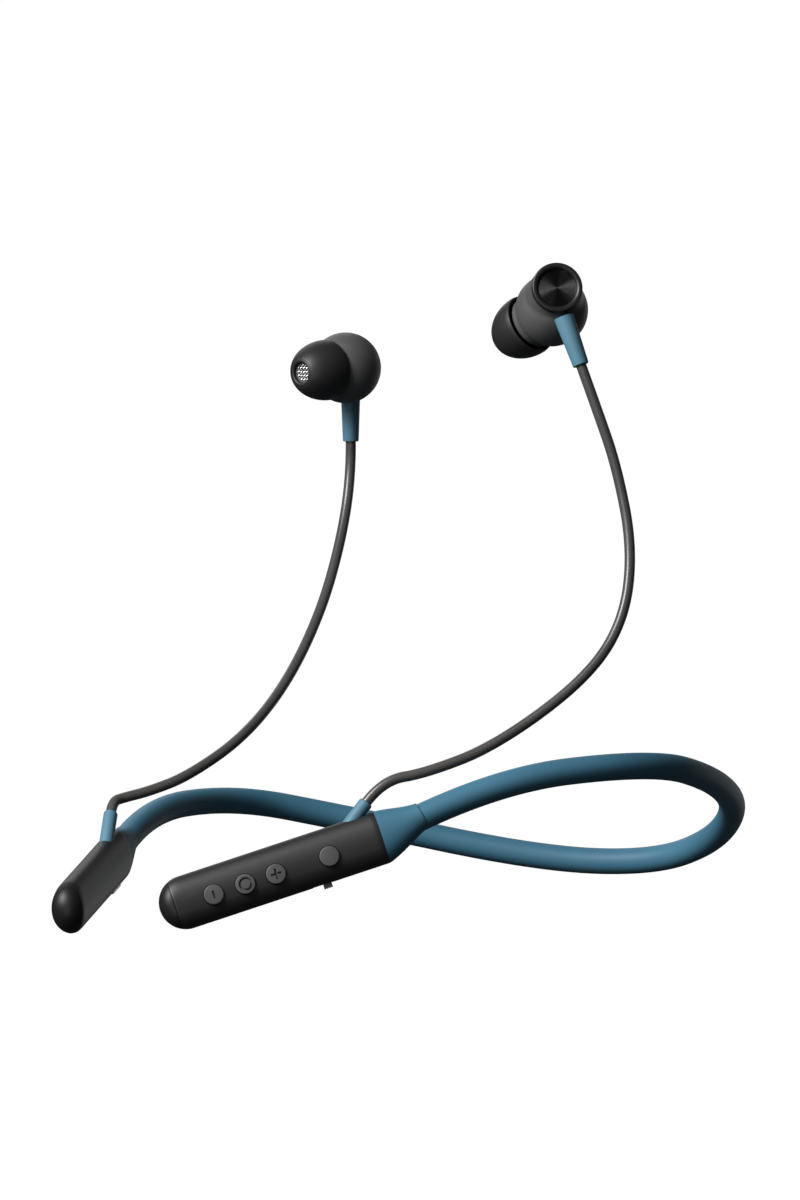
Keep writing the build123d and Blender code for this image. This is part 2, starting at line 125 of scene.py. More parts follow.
class Wire:
    """A value between shader nodes: arithmetic on it adds Math nodes."""

    def __init__(self, tree, socket=None):
        self.tree = tree
        self.socket = socket

    def node(self, kind, settings, sockets, output=0):
        """Any other node: its settings first, then the values or links of its sockets."""
        made = self.tree.nodes.new(kind)
        for key, value in settings.items():
            if key == "stops":
                for stop, (position, colour) in zip(made.color_ramp.elements, value):
                    stop.position = position
                    stop.color = (*colour, 1)
            else:
                setattr(made, key, value)
        for key, value in sockets.items():
            if isinstance(value, Wire):
                self.tree.links.new(value.socket, made.inputs[key])
            else:
                made.inputs[key].default_value = value
        return Wire(self.tree, made.outputs[output])

    def math(self, operation, *values):
        return self.node("ShaderNodeMath", {"operation": operation}, dict(enumerate(values)))

    def __add__(self, other):
        return self.math("ADD", self, other)

    def __mul__(self, other):
        return self.math("MULTIPLY", self, other)

    __radd__ = __add__
    __rmul__ = __mul__


PATCH_LOW = 0.35
PATCH_HIGH = 0.65
GLOSS_SPREAD = 1.4
GLOSS_DROP = 0.2


def noise(here, place, scale, detail=2.0, roughness=0.5):
    return here.node("ShaderNodeTexNoise", {}, {
        "Vector": place, "Scale": scale, "Detail": detail, "Roughness": roughness})


def moulded(name, dark, light, rough, grain, depth, patch=90, speckle=0.25, **fixed):
    """A moulded finish: two close colours in soft patches with fine speckle, and a grain of a given
    size and depth in mm that also moves the roughness between its two values."""
    material = bpy.data.materials.new(name)
    material.use_nodes = True
    tree = material.node_tree
    shader = tree.nodes["Principled BSDF"]
    here = Wire(tree)
    place = here.node("ShaderNodeTexCoord", {}, {}, "Object")
    patches = noise(here, place, patch, detail=3.0)
    grains = noise(here, place, 1 / (grain * MM), detail=3.0, roughness=0.6)
    amount = patches * (1 - speckle) + grains * speckle
    stops = [(PATCH_LOW, dark), (PATCH_HIGH, light)]
    colour = here.node("ShaderNodeValToRGB", {"stops": stops}, {0: amount})
    tree.links.new(colour.socket, shader.inputs["Base Color"])
    span = rough[1] - rough[0]
    gloss = grains * span * GLOSS_SPREAD + (rough[0] - GLOSS_DROP * span)
    tree.links.new(gloss.socket, shader.inputs["Roughness"])
    bump = here.node("ShaderNodeBump", {}, {"Strength": 1.0, "Distance": depth * MM, "Height": grains})
    tree.links.new(bump.socket, shader.inputs["Normal"])
    for key, value in fixed.items():
        shader.inputs[key.replace("_", " ")].default_value = value
    return material


floor_paint = moulded("floor_paint", (0.86, 0.86, 0.87), (0.9, 0.9, 0.9), (0.7, 0.9), 3.0, 0.02, patch=4)
bpy.ops.object.select_all(action="DESELECT")
bpy.ops.mesh.primitive_grid_add(x_subdivisions=8, y_subdivisions=8, size=FLOOR_SIZE,
                                location=FLOOR_PLACE)
floor = bpy.context.object
floor.name = "floor"
floor.data.materials.append(floor_paint)
floor.visible_diffuse = False
floor.visible_glossy = False

# Neckband sleeve: an extruded tube of soft blue silicone, smooth and slightly dusty, bent by the
# wire in it. It is one tube in the real thing, and two halves here, split at the middle of the back.
SLEEVE_DIA = 5.3
SLEEVE_WALL = 1.05
COLLAR_LENGTH = 9.0
SOCKET_DEPTH = 4.0
SLEEVE_CUT = COLLAR_LENGTH - SOCKET_DEPTH
ROUTE_STEPS = 32
TUBE_STEPS = 14
BAND = {
    "left": [(6.9, -1.1, 1.05), (31.1, -16.2, 5.8), (54.1, -42.3, 8.5),
             (65.5, -68.3, 10), (53.5, -101.8, 5), (41.3, -117.8, -6)],
    "right": [(-10.2, -2.6, -2.6), (-30.3, -16.1, -1.25), (-58.6, -45.0, 7.5),
              (-65.5, -68.3, 11), (-53.5, -101.8, 5.6), (-41.3, -117.8, -4.9)],
}

band_silicone = moulded("band_silicone", (0.042, 0.137, 0.206), (0.054, 0.162, 0.242), (0.46, 0.6),
                        0.14, 0.004, patch=60, speckle=0.3, Specular_IOR_Level=0.26)


def take(piece):
    """Selects one piece alone and makes it active."""
    bpy.ops.object.select_all(action="DESELECT")
    piece.select_set(True)
    bpy.context.view_layer.objects.active = piece


def route_line(name, points, diameter):
    """A tube on one open NURBS spline with the route's points as its control points."""
    line = bpy.data.curves.new(name, "CURVE")
    line.dimensions = "3D"
    spline = line.splines.new("NURBS")
    spline.points.add(len(points) - 1)
    for control, point in zip(spline.points, points):
        control.co = (*(Vector(point) * MM), 1)
    spline.order_u = 3
    spline.use_endpoint_u = True
    line.resolution_u = ROUTE_STEPS
    line.bevel_depth = diameter / 2 * MM
    line.bevel_resolution = TUBE_STEPS
    line.use_fill_caps = True
    return add_object(name, line)


def finish_piece(piece, material, body, nodes=(), angle=35):
    """Smooths a finished mesh, gives it its finish and lets it stand for its CAD nodes."""
    piece.data.materials.clear()
    piece.data.materials.append(material)
    take(piece)
    bpy.ops.object.shade_smooth_by_angle(angle=math.radians(angle))
    if nodes:
        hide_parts(*nodes)
    if body:
        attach(piece, body)


def band_half(name, side, lift, diameter, wall, cut, material, node):
    """Half of a layer of the band, from the middle of the back to the inside of its collar."""
    route = [(x, y, z + lift) for x, y, z in BAND["right"][::-1] + BAND["left"]]
    piece = route_line(name, route, diameter)
    take(piece)
    bpy.ops.object.convert(target="MESH")
    piece = bpy.context.object
    end = Vector(BAND[side][-1]) + Vector((0, 0, lift))
    back = (Vector(BAND[side][-2]) - Vector(BAND[side][-1])).normalized()
    outward = Vector((1 if side == "left" else -1, 0, 0))
    bpy.ops.object.mode_set(mode="EDIT")
    for point, normal in (((0, 0, 0), outward), ((end + back * cut) * MM, back)):
        bpy.ops.mesh.select_all(action="SELECT")
        bpy.ops.mesh.bisect(plane_co=point, plane_no=normal, clear_inner=True, use_fill=wall == 0)
    bpy.ops.object.mode_set(mode="OBJECT")
    if wall:
        skin = piece.modifiers.new("bore", "SOLIDIFY")
        skin.thickness = wall * MM
        skin.offset = -1
        bpy.ops.object.modifier_apply(modifier="bore")
    finish_piece(piece, material, None, (node,), angle=40)
    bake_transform(piece)


for side in ("left", "right"):
    band_half(f"{side}_sleeve", side, 0, SLEEVE_DIA, SLEEVE_WALL, SLEEVE_CUT,
              band_silicone, "neckband_sleeve")

# Memory wire and lead: a sprung steel wire that keeps the band's shape, drawn and lightly oiled,
# and beside it the insulated lead that joins the two pods.
CORE_DIA = 1.2
CORE_OFFSET = 0.72
CORE_CUT = SLEEVE_CUT + 1
spring_steel = moulded("spring_steel", (0.42, 0.43, 0.45), (0.56, 0.57, 0.58), (0.22, 0.36),
                       0.05, 0.001, patch=300, Metallic=1.0)
cable_jacket = moulded("cable_jacket", (0.060, 0.058, 0.056), (0.078, 0.075, 0.073), (0.24, 0.34),
                       0.12, 0.003, patch=120, speckle=0.35, Specular_IOR_Level=0.5)
for side in ("left", "right"):
    band_half(f"{side}_memory_wire", side, CORE_OFFSET, CORE_DIA, 0, CORE_CUT,
              spring_steel, "memory_wire")
    band_half(f"{side}_band_lead", side, -CORE_OFFSET, CORE_DIA, 0, CORE_CUT,
              cable_jacket, "neckband_lead")

# Ear cables: round leads in a grey thermoplastic jacket, moulded into a relief at each end.
# Each hangs from its pod and rises to its bud, as it is when worn.
CABLE_DIA = 2.1
CABLES = {
    "right": ([(-38.2, -121.6, 3.3), (-39.0, -120.5, 5.7), (-39.0, -117.8, 6.6),
               (-36.9, -112.9, 8.0), (-34.3, -104.9, 11.3), (-33.5, -91, 19.9),
               (-38.1, -76, 32.0), (-43.5, -62.7, 47.5), (-46.9, -54.6, 62.8),
               (-49.0, -50.3, 76.2), (-48.1, -51.1, 83.2)], 0.1158),
    "left": ([(39.5, -120.1, 0.9), (41.5, -117.5, 5.2), (46.6, -111.0, 6.6),
              (54.3, -99.7, 12.0), (64.0, -85, 25.0), (66.8, -77.2, 36.7), (66.2, -74.3, 51.5),
              (62.9, -75.6, 68.0), (60.8, -79, 79.4), (58.5, -81, 87.9)], 0.1169),
}
for side, (route, length) in CABLES.items():
    cable = route_line(f"{side}_cable", route, CABLE_DIA)
    cable.data.materials.append(cable_jacket)
    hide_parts(f"{side}_ear_cable")
    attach(cable, f"{side}_arm")

# Cable reliefs on the pods: short sleeves of silicone, a shade lighter than the band's, moulded over
# the cable and set into the top of each pod.
RELIEF_R = 1.4
RELIEF_LENGTH = 7.6
RELIEF_EDGE = 0.3
RELIEF_STEPS = 64
MOUTH_GAP = 0.02
MOUTH_DEPTH = 0.15
WELD = 1e-4
relief_silicone = moulded("relief_silicone", (0.086, 0.198, 0.275), (0.102, 0.226, 0.308), (0.45, 0.58),
                          0.12, 0.004, patch=80, speckle=0.3, Specular_IOR_Level=0.3)


def arc(centre_r, centre_z, radius, start, end, steps):
    """Points of an arc in a half-section, its angles in degrees from outwards to upwards."""
    turns = [math.radians(start + (end - start) * i / steps) for i in range(steps + 1)]
    return [(centre_r + radius * math.cos(t), centre_z + radius * math.sin(t)) for t in turns]


def standing(origin, axis, across=None):
    """The place of a part modelled in mm about its own Z: its origin, its axis, and its X."""
    z = Vector(axis).normalized()
    x = Vector(across) if across else Vector((0, 0, 1))
    x = (x - z * x.dot(z)).normalized()
    turn = Matrix((x, z.cross(x), z)).transposed().to_4x4()
    return Matrix.Scale(MM, 4) @ Matrix.Translation(Vector(origin)) @ turn


def close_up(weld):
    """In edit mode, merges points that meet if asked to, turns all faces outwards and leaves it."""
    bpy.ops.mesh.select_all(action="SELECT")
    if weld:
        bpy.ops.mesh.remove_doubles(threshold=WELD)
    bpy.ops.mesh.normals_make_consistent(inside=False)
    bpy.ops.object.mode_set(mode="OBJECT")


def turned(name, outline, place, steps=96):
    """A part turned about its own axis from its outline of (radius, height)."""
    section = bpy.data.meshes.new(name)
    section.from_pydata([(r, 0, z) for r, z in outline],
                        [(i, i + 1) for i in range(len(outline) - 1)], [])
    piece = add_object(name, section)
    take(piece)
    bpy.ops.object.mode_set(mode="EDIT")
    bpy.ops.mesh.select_all(action="SELECT")
    bpy.ops.mesh.spin(steps=steps, angle=2 * math.pi, center=(0, 0, 0), axis=(0, 0, 1))
    close_up(weld=True)
    piece.data.transform(place)
    return piece


for side, (route, _) in CABLES.items():
    outward = Vector(route[1]) - Vector(route[0])
    outline = [(0, -RELIEF_LENGTH), (RELIEF_R, -RELIEF_LENGTH)]
    outline += arc(RELIEF_R - RELIEF_EDGE, -RELIEF_EDGE, RELIEF_EDGE, 0, 80, 6)
    outline += [(CABLE_DIA / 2 + MOUTH_GAP, 0), (CABLE_DIA / 2, -MOUTH_DEPTH), (0, -MOUTH_DEPTH)]
    relief = turned(f"{side}_pod_relief", outline, standing(route[0], outward), RELIEF_STEPS)
    finish_piece(relief, relief_silicone, f"{side}_arm", (f"{side}_cable_relief",))

# Pod cases: crowned slot-shaped shells of dark grey ABS with a fine spark texture, each parted along
# its inner side and rounded off towards its plug. The left one has wells for the keys, a slot for the
# slider and a sound hole, the right one a slot for the port. The reliefs pass through the tops.
POD_HEIGHT = 10.6
POD_WIDTH = 6.6
POD_LENGTH = 42.6
POD_WALL = 1.0
POD_ROUND_START = 40.3
POD_CROWN = 0.85
POD_AIM = (-0.58, -0.75, -0.318)
CASE_EASE = 0.12
CASE_LIP = 0.04
CASE_START = 1.2
CASE_STEP = 1.955
ROUND_STEP = 0.276
PARTING = 1.2
SEAM = 0.03
RING_POINTS = 96
RELIEF_GAP = 0.3
RELIEF_CUT = (-2.9, 8)
WELL_CUT = (1.9, 5)
WALL_CUT = (3.9, 7)
SLOT_DEPTH = 3
HALF_BLOCK = (20, 30, 120)
HALF_REACH = 10
HALF_PLACE = 20
BUTTONS = {"volume_down_button": 34.8, "multifunction_button": 28.3,
           "volume_up_button": 22.0, "mode_button": 11.0}
BUTTON_DROP = -0.5
WELL_R = 2.13
KNOB_LENGTH = 1.7
KNOB_WIDTH = 1.1
KNOB_PLACE = 12.9
KNOB_TRAVEL = 2.0
KNOB_GAP = 0.15
MICROPHONE_PLACE = 37.5
SOUND_HOLE_R = 0.4
PORT_PLACE = 7.2
PORT_LENGTH = 9.18
PORT_THICKNESS = 3.5
case_plastic = moulded("case_plastic", (0.009, 0.009, 0.010), (0.014, 0.014, 0.015), (0.42, 0.54),
                       0.11, 0.006, patch=70, speckle=0.35, Specular_IOR_Level=0.6)


def pod_place(side):
    """A pod's own frame: x to the wearer's left, y up and z along the pod from its collar."""
    mirror = 1 if side == "left" else -1
    along = Vector((POD_AIM[0] * mirror, POD_AIM[1], POD_AIM[2])).normalized()
    rise = (Vector((0, 0, 1)) - along * along.z).normalized()
    turn = Matrix((rise.cross(along), rise, along)).transposed().to_4x4()
    return Matrix.Scale(MM, 4) @ Matrix.Translation(Vector(BAND[side][-1])) @ turn


def slot_ring(height, width, z=0.0, crown=0.0):
    """The outline of a slot-shaped section, its flat sides crowned towards an ellipse by a share."""
    r = width / 2
    flat = (height - width) / 2
    around = 4 * flat + 2 * math.pi * r
    ring = []
    for i in range(RING_POINTS):
        s = around * i / RING_POINTS
        if s < flat:
            x, y = r, s
        elif s < flat + math.pi * r:
            t = (s - flat) / r
            x, y = r * math.cos(t), flat + r * math.sin(t)
        elif s < 3 * flat + math.pi * r:
            x, y = -r, 2 * flat + math.pi * r - s
        elif s < 3 * flat + 2 * math.pi * r:
            t = (s - 3 * flat) / r
            x, y = r * math.cos(t), -flat + r * math.sin(t)
        else:
            x, y = r, s - around
        oval = r * math.sqrt(max(1 - (2 * y / height) ** 2, 0))
        ring.append(Vector((x * (1 - crown) + math.copysign(oval, x) * crown, y, z)))
    return ring


def skinned(name, rings, place):
    """A closed skin over rings that have the same number of points."""
    count = len(rings[0])
    faces = [tuple(range(count)), tuple(range((len(rings) - 1) * count, len(rings) * count))]
    for level in range(len(rings) - 1):
        low = level * count
        faces += [(low + i, low + (i + 1) % count, low + count + (i + 1) % count, low + count + i)
                  for i in range(count)]
    skin = bpy.data.meshes.new(name)
    skin.from_pydata([point for ring in rings for point in ring], [], faces)
    skin.transform(place)
    piece = add_object(name, skin)
    take(piece)
    bpy.ops.object.mode_set(mode="EDIT")
    close_up(weld=False)
    return piece


def cut_away(piece, cutter):
    """Takes the cutter's shape out of a piece and removes the cutter."""
    take(piece)
    cut = piece.modifiers.new("cut", "BOOLEAN")
    cut.operation = "DIFFERENCE"
    cut.object = cutter
    cut.solver = "EXACT"
    bpy.ops.object.modifier_apply(modifier="cut")
    bpy.data.objects.remove(cutter)


def block(name, size, centre):
    """A block of a given size in mm about a point, not yet placed."""
    bpy.ops.object.select_all(action="DESELECT")
    bpy.ops.mesh.primitive_cube_add(size=1)
    piece = bpy.context.object
    piece.name = name
    piece.data.transform(Matrix.Translation(centre) @ Matrix.Diagonal((*size, 1)))
    return piece


def bore(radius, low, high, place, steps=96):
    """A round cutter between two heights on its own axis."""
    return turned("bore", [(0, low), (radius, low), (radius, high), (0, high)], place, steps)


def onto_side(along):
    """Onto a pod's outer side: z out of the side, at a button's height."""
    return Matrix(((0, 0, 1, 0), (0, 1, 0, BUTTON_DROP), (-1, 0, 0, along), (0, 0, 0, 1)))


def onto_underside(along):
    """Onto a pod's underside: z downwards, y along the pod."""
    return Matrix(((1, 0, 0, 0), (0, 0, -1, 0), (0, 1, 0, along), (0, 0, 0, 1)))


def end_height(z):
    """The case's and its plug's height at a place along the pod."""
    past = max(z - POD_ROUND_START, 0)
    return 2 * math.sqrt(max((POD_HEIGHT / 2) ** 2 - past ** 2, 0))


for side, mirror in (("left", 1), ("right", -1)):
    place = pod_place(side)
    levels = [CASE_EASE] + [CASE_START + CASE_STEP * i for i in range(20)]
    levels += [POD_ROUND_START + ROUND_STEP * i for i in range(1, 9)]
    rings = [slot_ring(POD_HEIGHT - CASE_EASE, POD_WIDTH - CASE_EASE, 0, POD_CROWN)]
    rings += [slot_ring(end_height(z), POD_WIDTH, z, POD_CROWN) for z in levels]
    rings.append(slot_ring(end_height(POD_LENGTH) - CASE_LIP, POD_WIDTH - CASE_LIP, POD_LENGTH, POD_CROWN))
    case = skinned(f"{side}_pod_case", rings, Matrix.Identity(4))
    hollow = [slot_ring(POD_HEIGHT - 2 * POD_WALL, POD_WIDTH - 2 * POD_WALL, z)
              for z in (POD_WALL, POD_LENGTH + 1)]
    cut_away(case, skinned("hollow", hollow, Matrix.Identity(4)))
    route = CABLES[side][0]
    outward = Vector(route[1]) - Vector(route[0])
    exit_place = place.inverted() @ standing(route[0], outward)
    cut_away(case, bore(RELIEF_R + RELIEF_GAP, *RELIEF_CUT, exit_place))
    if side == "left":
        for along in BUTTONS.values():
            cut_away(case, bore(WELL_R, *WELL_CUT, onto_side(along)))
        slot_size = (KNOB_WIDTH + 2 * KNOB_GAP, SLOT_DEPTH, KNOB_LENGTH + KNOB_TRAVEL + 2 * KNOB_GAP)
        cut_away(case, block("slot", slot_size, (0, -POD_HEIGHT / 2, KNOB_PLACE + KNOB_TRAVEL / 2)))
        cut_away(case, bore(SOUND_HOLE_R, *WALL_CUT, onto_underside(MICROPHONE_PLACE), 32))
    else:
        port_slot = [slot_ring(PORT_LENGTH, PORT_THICKNESS, z) for z in WALL_CUT]
        cut_away(case, skinned("slot", port_slot, onto_underside(PORT_PLACE)))
    cover = add_object(f"{side}_pod_lid", case.data.copy())
    case.name = f"{side}_pod_body"
    cut_away(case, block("half", HALF_BLOCK, (mirror * (-PARTING - HALF_REACH), 0, HALF_PLACE)))
    cut_away(cover, block("half", HALF_BLOCK, (mirror * (-PARTING - SEAM + HALF_REACH), 0, HALF_PLACE)))
    case.data.transform(place)
    cover.data.transform(place)
    finish_piece(case, case_plastic, f"{side}_arm", (f"{side}_pod_shell",), angle=32)
    finish_piece(cover, case_plastic, f"{side}_arm", (f"{side}_pod_cover",), angle=32)

# Collars: tapered silicone sockets between the band and the pods, moulded in the band's colour.
# Their section goes from the pod's slot to the band's circle.
COLLAR_END_R = 2.69
COLLAR_LEVELS = 24
COLLAR_BOW = 0.6
COLLAR_STRAIGHT = 0.5
SECTION_EVEN = 0.35
SECTION_EASED = 0.65
COLLAR_LIP = ((0.03, 0.05), (0.1, 0.08), (0.2, 0.09))
for side in ("left", "right"):
    place = pod_place(side)
    to_pod = (Matrix.Scale(1 / MM, 4) @ place).inverted()
    band_end = Vector(BAND[side][-1])
    band_aim = (Vector(BAND[side][-2]) - band_end).normalized()
    far = to_pod @ (band_end + band_aim * COLLAR_LENGTH)
    far_axis = to_pod.to_3x3() @ band_aim
    far_across = (Vector((1, 0, 0)) - far_axis * far_axis.x).normalized()
    far_up = far_axis.cross(far_across)
    if far_up.y < 0:
        far_up = -far_up
    near_ring = slot_ring(POD_HEIGHT, POD_WIDTH, 0, POD_CROWN)
    rings = []
    for level in range(COLLAR_LEVELS + 1):
        t = level / COLLAR_LEVELS
        ease = t * t * (3 - 2 * t)
        blend = SECTION_EVEN * t + SECTION_EASED * ease
        centre = (Vector((0, 0, -1)) * COLLAR_LENGTH * t * (1 - t) ** 2 * COLLAR_BOW
                  - far_axis * COLLAR_LENGTH * t * t * (1 - t) * COLLAR_BOW + far * ease)
        centre = centre * (1 - COLLAR_STRAIGHT) + far * t * COLLAR_STRAIGHT
        turn_across = (Vector((1, 0, 0)).lerp(far_across, ease)).normalized()
        turn_up = (Vector((0, 1, 0)).lerp(far_up, ease)).normalized()
        ring = []
        for i, point in enumerate(near_ring):
            angle = 2 * math.pi * i / RING_POINTS
            round_point = Vector((math.cos(angle), math.sin(angle), 0)) * COLLAR_END_R
            flat_point = point.lerp(round_point, blend)
            ring.append(centre + turn_across * flat_point.x + turn_up * flat_point.y)
        rings.append(ring)
    for shrink, rise in COLLAR_LIP:
        rings.append([p + (far - p).normalized() * shrink + far_axis * rise for p in rings[COLLAR_LEVELS]])
    collar = skinned(f"{side}_collar_socket", rings, place)
    finish_piece(collar, band_silicone, f"{side}_arm", (f"{side}_collar",), angle=40)

# Pod end caps: domed plugs of a smoother and slightly darker plastic, pushed into the open ends of
# the cases.
CAP_LENGTH = 3.0
CAP_EASE = 0.08
CAP_STEPS = 24
CAP_SWEEP = 89
CAP_TIP = 0.12
SPIGOT = 1.6
SPIGOT_INSET = 2.04
SEAT_LIFT = 0.02
SEAT_INSET = 0.06
cap_plastic = moulded("cap_plastic", (0.008, 0.008, 0.009), (0.012, 0.012, 0.013), (0.42, 0.5),
                      0.2, 0.0015, patch=90, speckle=0.2, Specular_IOR_Level=0.36)
for side in ("left", "right"):
    seat = POD_LENGTH + SEAT_LIFT
    rings = [slot_ring(POD_HEIGHT - SPIGOT_INSET, POD_WIDTH - SPIGOT_INSET, POD_LENGTH - SPIGOT),
             slot_ring(POD_HEIGHT - SPIGOT_INSET, POD_WIDTH - SPIGOT_INSET, seat),
             slot_ring(end_height(POD_LENGTH) - SEAT_INSET, POD_WIDTH - SEAT_INSET, seat, POD_CROWN),
             slot_ring(end_height(POD_LENGTH + CAP_EASE), POD_WIDTH, POD_LENGTH + CAP_EASE, POD_CROWN)]
    for step in range(1, CAP_STEPS + 1):
        t = math.radians(CAP_SWEEP * step / CAP_STEPS)
        z = POD_LENGTH + CAP_EASE + (CAP_LENGTH - CAP_EASE) * math.sin(t)
        rings.append(slot_ring(max(end_height(z), CAP_TIP), POD_WIDTH * math.cos(t), z, POD_CROWN))
    end_cap = skinned(f"{side}_end_plug", rings, pod_place(side))
    finish_piece(end_cap, cap_plastic, f"{side}_arm", (f"{side}_pod_end_cap",), angle=40)

# Buttons: four round keys of grey rubberised plastic on the left pod, domed a little, with sunk
# marks for volume down, answer and volume up. The fourth is plain.
BUTTON_R = 1.99
BUTTON_FACE = 3.75
BUTTON_DOME = 0.12
BUTTON_EDGE = 0.2
FLANGE_R = 2.55
FLANGE_TOP = 1.95
FLANGE_BOTTOM = 1.55
MARK_WIDTH = 0.44
MARK_LENGTH = 2.1
MINUS_LENGTH = 1.5
RING_MARK_R = 1.35
MARK_DEPTH = 0.5
MARK_LIFT = 0.1
PLUS_SLIM = 0.99
button_rubber = moulded("button_rubber", (0.062, 0.062, 0.063), (0.080, 0.080, 0.081), (0.48, 0.64),
                        0.12, 0.005, patch=160, speckle=0.35, Specular_IOR_Level=0.45)
for node, along in BUTTONS.items():
    outline = [(BUTTON_R * math.sin(t), BUTTON_FACE + BUTTON_DOME - BUTTON_DOME * (math.sin(t) ** 2))
               for t in (math.radians(a) for a in range(0, 66, 5))]
    outline += arc(BUTTON_R - BUTTON_EDGE, BUTTON_FACE - BUTTON_EDGE, BUTTON_EDGE, 70, 0, 6)
    outline += [(BUTTON_R, FLANGE_TOP), (FLANGE_R, FLANGE_TOP)]
    outline += [(FLANGE_R, FLANGE_BOTTOM), (0, FLANGE_BOTTOM)]
    button = turned(f"{node}_key", outline, Matrix.Identity(4))
    middle = BUTTON_FACE + MARK_LIFT
    if node == "volume_down_button":
        cut_away(button, block("mark", (MARK_WIDTH, MINUS_LENGTH, 2 * MARK_DEPTH), (0, 0, middle)))
    if node == "volume_up_button":
        cut_away(button, block("mark", (MARK_WIDTH, MARK_LENGTH, 2 * MARK_DEPTH), (0, 0, middle)))
        bar = (MARK_LENGTH, MARK_WIDTH * PLUS_SLIM, 2 * MARK_DEPTH)
        cut_away(button, block("mark", bar, (0, 0, middle)))
    if node == "multifunction_button":
        inner = RING_MARK_R - MARK_WIDTH
        low = middle - MARK_DEPTH
        high = middle + MARK_DEPTH
        mark = [(inner, low), (RING_MARK_R, low), (RING_MARK_R, high), (inner, high), (inner, low)]
        cut_away(button, turned("mark", mark, Matrix.Identity(4)))
    button.data.transform(pod_place("left") @ onto_side(along))
    finish_piece(button, button_rubber, node, (node,), angle=32)

# Power switch knob: a small ribbed slider of the buttons' plastic that stands out under the pod.
KNOB_PROUD = 0.9
KNOB_INSIDE = 1.3
KNOB_EDGE = 0.12
KNOB_GROOVE = (KNOB_WIDTH + 1, 0.24, 0.16)
KNOB_GROOVES = (-0.45, 0, 0.45)
knob = block("power_slider", (KNOB_WIDTH, KNOB_PROUD + KNOB_INSIDE, KNOB_LENGTH),
             (0, -POD_HEIGHT / 2 - KNOB_PROUD / 2 + KNOB_INSIDE / 2, KNOB_PLACE))
take(knob)
edge = knob.modifiers.new("edges", "BEVEL")
edge.width = KNOB_EDGE
edge.segments = 4
bpy.ops.object.modifier_apply(modifier="edges")
for groove in KNOB_GROOVES:
    groove_place = (0, -POD_HEIGHT / 2 - KNOB_PROUD, KNOB_PLACE + groove)
    cut_away(knob, block("groove", KNOB_GROOVE, groove_place))
knob.data.transform(pod_place("left"))
finish_piece(knob, button_rubber, "power_switch_knob", ("power_switch_knob",), angle=30)

# Charging socket and what the pods and buds hold: a drawn steel shell, green boards, black chips, a
# foil cell on a foam pad, tin-plated switches and screws, magnets, and the drivers with their films.
# All keep their CAD shape.

def repaint(node, material):
    """Gives a CAD node its finish."""
    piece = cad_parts[node]
    piece.data.materials.clear()
    piece.data.materials.append(material)


port_metal = moulded("port_metal", (0.48, 0.48, 0.47), (0.62, 0.62, 0.6), (0.24, 0.38), 0.06, 0.001,
                     patch=250, Metallic=1.0)
switch_metal = moulded("switch_metal", (0.5, 0.5, 0.48), (0.66, 0.65, 0.62), (0.3, 0.45), 0.08, 0.001,
                       patch=400, Metallic=1.0)
magnet_metal = moulded("magnet_metal", (0.36, 0.36, 0.38), (0.5, 0.5, 0.52), (0.2, 0.32), 0.09, 0.001,
                       patch=350, Metallic=1.0)
board_green = moulded("board_green", (0.012, 0.09, 0.035), (0.02, 0.15, 0.06), (0.3, 0.42), 0.3, 0.004,
                      patch=700, speckle=0.2)
chip_black = moulded("chip_black", (0.012, 0.012, 0.013), (0.022, 0.022, 0.024), (0.5, 0.65), 0.06, 0.003,
                     patch=500)
cell_foil = moulded("cell_foil", (0.42, 0.43, 0.45), (0.62, 0.63, 0.65), (0.3, 0.5), 0.6, 0.01,
                    patch=220, Metallic=0.9)
pad_foam = moulded("pad_foam", (0.03, 0.03, 0.032), (0.06, 0.06, 0.062), (0.85, 0.98), 0.25, 0.05,
                   patch=600, speckle=0.6)
film = moulded("diaphragm_film", (0.5, 0.36, 0.16), (0.62, 0.46, 0.22), (0.25, 0.35), 0.1, 0.001, patch=400)
for material, nodes in (
        (port_metal, ("charging_port",)),
        (switch_metal, ("button_switches", "power_switch", "board_screws")),
        (magnet_metal, ("left_snap_magnet", "right_snap_magnet", "left_driver_magnet",
                        "right_driver_magnet")),
        (board_green, ("main_board", "charging_board")),
        (chip_black, ("radio_module", "microphone", "left_driver_frame", "right_driver_frame")),
        (cell_foil, ("battery_cell",)),
        (pad_foam, ("battery_pad",)),
        (film, ("left_diaphragm", "right_diaphragm"))):
    for node in nodes:
        repaint(node, material)

# Earbud housings: ball-shaped shells of grey ABS. A neck runs from the ball to the cap, and the
# shell parts from the front half across the ball's middle.
BALL_R = 7.2
NECK_R = 6.9
RING_R = 5.0
RING_WIDTH = 1.6
NECK_SOFTNESS = 0.3
BALL_SEGMENTS = 160
BUDS = {
    "right": {"ball": (-42.8, -56.9, 97.4), "nozzle": (0.086, -0.984, -0.155),
              "cap_axis": (-0.691, 0.721, 0.059), "cap": (-5.85, 6.78, 2.06)},
    "left": {"ball": (49.5, -80.9, 99.6), "nozzle": (-0.920, -0.116, -0.371),
             "cap_axis": (0.829, -0.538, 0.152), "cap": (7.11, -4.55, 3.65)},
}
bud_plastic = moulded("bud_plastic", (0.068, 0.068, 0.069), (0.088, 0.088, 0.089), (0.42, 0.56),
                      0.11, 0.004, patch=90, speckle=0.3, Specular_IOR_Level=0.5)
